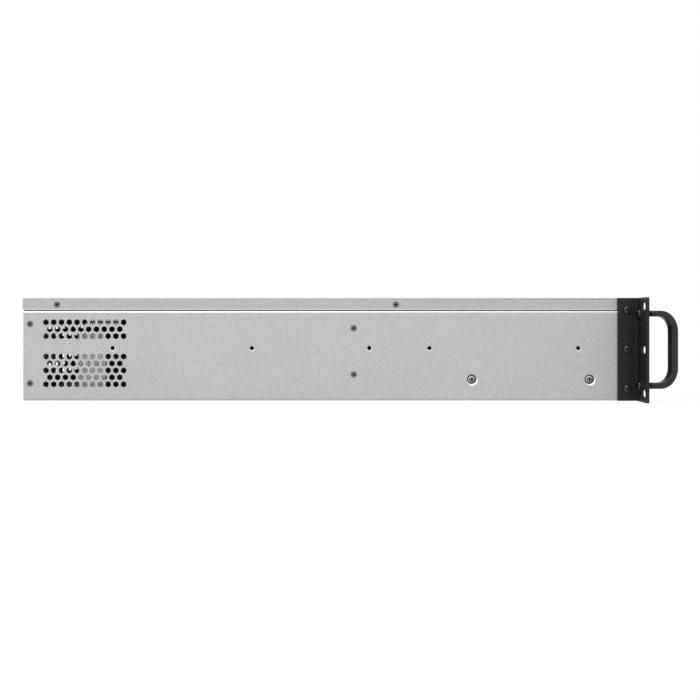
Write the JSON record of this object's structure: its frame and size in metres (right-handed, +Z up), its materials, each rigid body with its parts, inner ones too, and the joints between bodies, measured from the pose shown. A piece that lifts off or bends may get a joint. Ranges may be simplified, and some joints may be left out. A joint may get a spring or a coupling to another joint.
{
  "type": "barebone rack server",
  "caption": "Two-unit rack server barebone: vented zinc-coated chassis with flush cover, black rack ears with bar handles, hot-swap drive trays, fan wall and plug-in power supplies.",
  "frame": {"origin": "centre of the underside of the chassis floor, half-way between the rack plane and the rear edge of the cover", "axes": "+X to the right seen from the front, +Y from the front to the rear, +Z up"},
  "size_m": [0.4826, 0.5811, 0.088],
  "materials": {
    "zinc_sheet": "zinc-coated sheet steel, fine mottled grain",
    "plain_steel": "zinc-coated sheet inside",
    "black_coat": "black powder coat, satin",
    "black_screw": "black oxide",
    "screw_zinc": "zinc-plated screw",
    "black_plastic": "moulded black plastic",
    "lever_plastic": "moulded dark grey plastic",
    "button_plastic": "moulded grey plastic",
    "green_plastic": "moulded green plastic",
    "clear_plastic": "clear light pipe",
    "white_plastic": "white nylon header",
    "board_green": "soldermask on glass fibre board",
    "nickel": "nickel-plated connector shell",
    "brass": "turned brass",
    "aluminium": "extruded aluminium"
  },
  "bodies": {
    "chassis": {"chassis_tray": "zinc_sheet", "top_cover": "zinc_sheet", "rear_panel": "zinc_sheet", "io_shield": "plain_steel", "slot_covers": "plain_steel", "ear_left": "black_coat", "ear_right": "black_coat", "handle_left": "black_coat", "handle_right": "black_coat", "black_screws": "black_screw", "zinc_screws": "screw_zinc", "drive_cage": "plain_steel", "backplane": "board_green", "backplane_connectors": "black_plastic", "front_panel": "black_plastic", "front_board": "board_green", "front_usb_ports": "nickel", "light_pipes": "clear_plastic", "fan_wall": "plain_steel", "motherboard": "board_green", "board_standoffs": "brass", "cpu_socket": "black_plastic", "memory_slots": "black_plastic", "expansion_slots": "black_plastic", "chipset_heatsink": "aluminium", "rear_ports": "nickel", "psu_cage": "plain_steel", "power_board": "board_green", "riser_bracket": "plain_steel", "riser_connector": "white_plastic", "fan_frame_1": "black_plastic", "fan_frame_2": "black_plastic", "fan_frame_3": "black_plastic"},
    "tray_1": {"drive_tray_1": "black_plastic"},
    "lever_1": {"tray_lever_1": "lever_plastic"},
    "tray_2": {"drive_tray_2": "black_plastic"},
    "lever_2": {"tray_lever_2": "lever_plastic"},
    "tray_3": {"drive_tray_3": "black_plastic"},
    "lever_3": {"tray_lever_3": "lever_plastic"},
    "tray_4": {"drive_tray_4": "black_plastic"},
    "lever_4": {"tray_lever_4": "lever_plastic"},
    "tray_5": {"drive_tray_5": "black_plastic"},
    "lever_5": {"tray_lever_5": "lever_plastic"},
    "tray_6": {"drive_tray_6": "black_plastic"},
    "lever_6": {"tray_lever_6": "lever_plastic"},
    "tray_7": {"drive_tray_7": "black_plastic"},
    "lever_7": {"tray_lever_7": "lever_plastic"},
    "tray_8": {"drive_tray_8": "black_plastic"},
    "lever_8": {"tray_lever_8": "lever_plastic"},
    "rotor_1": {"fan_rotor_1": "black_plastic"},
    "rotor_2": {"fan_rotor_2": "black_plastic"},
    "rotor_3": {"fan_rotor_3": "black_plastic"},
    "power_key": {"power_button": "button_plastic"},
    "reset_key": {"reset_button": "button_plastic"},
    "supply_1": {"psu_module_1": "plain_steel", "psu_inlet_1": "black_plastic"},
    "supply_latch_1": {"psu_latch_1": "green_plastic"},
    "supply_2": {"psu_module_2": "plain_steel", "psu_inlet_2": "black_plastic"},
    "supply_latch_2": {"psu_latch_2": "green_plastic"}
  },
  "joints": [
    {"name": "tray_1_slide", "type": "slide", "parent": "chassis", "child": "tray_1", "axis": [0, -1, 0], "range_m": [0, 0.165]},
    {"name": "lever_1_swing", "type": "hinge", "parent": "tray_1", "child": "lever_1", "pos_m": [-0.11385, -0.2655, 0.0106], "axis": [0, 0, 1], "range_deg": [0, 70]},
    {"name": "tray_2_slide", "type": "slide", "parent": "chassis", "child": "tray_2", "axis": [0, -1, 0], "range_m": [0, 0.165]},
    {"name": "lever_2_swing", "type": "hinge", "parent": "tray_2", "child": "lever_2", "pos_m": [-0.0077, -0.2655, 0.0106], "axis": [0, 0, 1], "range_deg": [0, 70]},
    {"name": "tray_3_slide", "type": "slide", "parent": "chassis", "child": "tray_3", "axis": [0, -1, 0], "range_m": [0, 0.165]},
    {"name": "lever_3_swing", "type": "hinge", "parent": "tray_3", "child": "lever_3", "pos_m": [0.09845, -0.2655, 0.0106], "axis": [0, 0, 1], "range_deg": [0, 70]},
    {"name": "tray_4_slide", "type": "slide", "parent": "chassis", "child": "tray_4", "axis": [0, -1, 0], "range_m": [0, 0.165]},
    {"name": "lever_4_swing", "type": "hinge", "parent": "tray_4", "child": "lever_4", "pos_m": [0.2046, -0.2655, 0.0106], "axis": [0, 0, 1], "range_deg": [0, 70]},
    {"name": "tray_5_slide", "type": "slide", "parent": "chassis", "child": "tray_5", "axis": [0, -1, 0], "range_m": [0, 0.165]},
    {"name": "lever_5_swing", "type": "hinge", "parent": "tray_5", "child": "lever_5", "pos_m": [-0.11385, -0.2655, 0.0394], "axis": [0, 0, 1], "range_deg": [0, 70]},
    {"name": "tray_6_slide", "type": "slide", "parent": "chassis", "child": "tray_6", "axis": [0, -1, 0], "range_m": [0, 0.165]},
    {"name": "lever_6_swing", "type": "hinge", "parent": "tray_6", "child": "lever_6", "pos_m": [-0.0077, -0.2655, 0.0394], "axis": [0, 0, 1], "range_deg": [0, 70]},
    {"name": "tray_7_slide", "type": "slide", "parent": "chassis", "child": "tray_7", "axis": [0, -1, 0], "range_m": [0, 0.165]},
    {"name": "lever_7_swing", "type": "hinge", "parent": "tray_7", "child": "lever_7", "pos_m": [0.09845, -0.2655, 0.0394], "axis": [0, 0, 1], "range_deg": [0, 70]},
    {"name": "tray_8_slide", "type": "slide", "parent": "chassis", "child": "tray_8", "axis": [0, -1, 0], "range_m": [0, 0.165]},
    {"name": "lever_8_swing", "type": "hinge", "parent": "tray_8", "child": "lever_8", "pos_m": [0.2046, -0.2655, 0.0394], "axis": [0, 0, 1], "range_deg": [0, 70]},
    {"name": "rotor_1_spin", "type": "hinge", "parent": "chassis", "child": "rotor_1", "pos_m": [-0.144, -0.0274, 0.044], "axis": [0, 1, 0], "continuous": true},
    {"name": "rotor_2_spin", "type": "hinge", "parent": "chassis", "child": "rotor_2", "pos_m": [-0.052, -0.0274, 0.044], "axis": [0, 1, 0], "continuous": true},
    {"name": "rotor_3_spin", "type": "hinge", "parent": "chassis", "child": "rotor_3", "pos_m": [0.04, -0.0274, 0.044], "axis": [0, 1, 0], "continuous": true},
    {"name": "power_press", "type": "slide", "parent": "chassis", "child": "power_key", "axis": [0, 1, 0], "range_m": [0, 0.0012], "stiffness_N_per_m": 800, "springref_m": -0.0005},
    {"name": "reset_press", "type": "slide", "parent": "chassis", "child": "reset_key", "axis": [0, 1, 0], "range_m": [0, 0.0012], "stiffness_N_per_m": 800, "springref_m": -0.0005},
    {"name": "supply_1_slide", "type": "slide", "parent": "chassis", "child": "supply_1", "axis": [0, 1, 0], "range_m": [0, 0.186]},
    {"name": "supply_latch_1_press", "type": "slide", "parent": "supply_1", "child": "supply_latch_1", "axis": [-1, 0, 0], "range_m": [0, 0.003], "stiffness_N_per_m": 600, "springref_m": -0.0005},
    {"name": "supply_2_slide", "type": "slide", "parent": "chassis", "child": "supply_2", "axis": [0, 1, 0], "range_m": [0, 0.186]},
    {"name": "supply_latch_2_press", "type": "slide", "parent": "supply_2", "child": "supply_latch_2", "axis": [-1, 0, 0], "range_m": [0, 0.003], "stiffness_N_per_m": 600, "springref_m": -0.0005}
  ]
}
